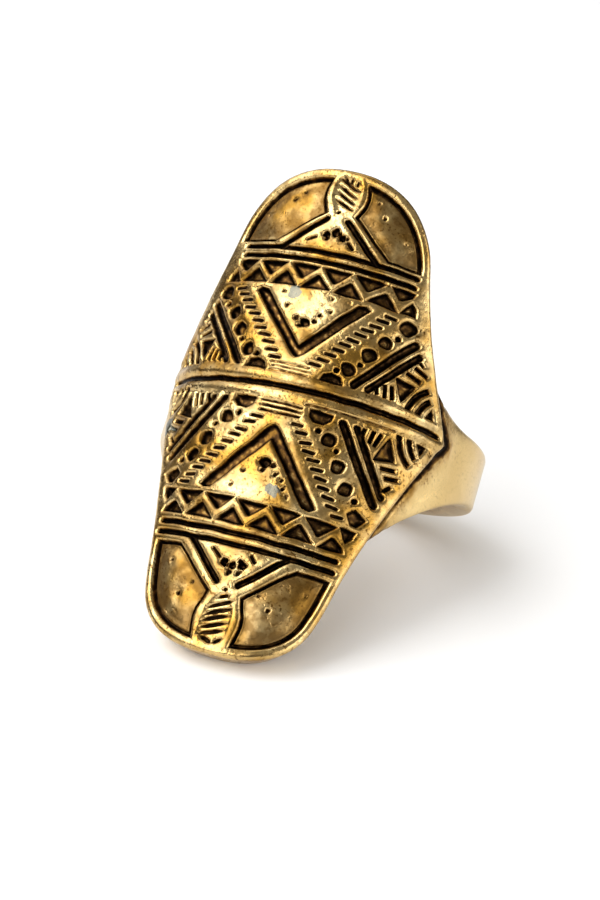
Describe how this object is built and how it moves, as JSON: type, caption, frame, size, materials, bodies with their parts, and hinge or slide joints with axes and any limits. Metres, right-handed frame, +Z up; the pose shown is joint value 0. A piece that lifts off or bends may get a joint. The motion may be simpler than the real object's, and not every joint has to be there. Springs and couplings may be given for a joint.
{
  "type": "lattice ring",
  "caption": "Long shield-shaped finger ring, cast with its band, with a lattice of raised geometric relief on the curved plate and a plain band that tapers to the back.",
  "frame": {"origin": "middle of the bounding box's bottom, on the surface that the ring rests on", "axes": "+Z up from that surface; the plate faces -Y and leans back; +X across the plate, to the right seen from its front"},
  "size_m": [0.0216, 0.029, 0.0265],
  "materials": {
    "antique_gold": "polished gold-coloured metal with dark oxidised recesses"
  },
  "bodies": {
    "root": {"ring": "antique_gold"}
  },
  "joints": []
}
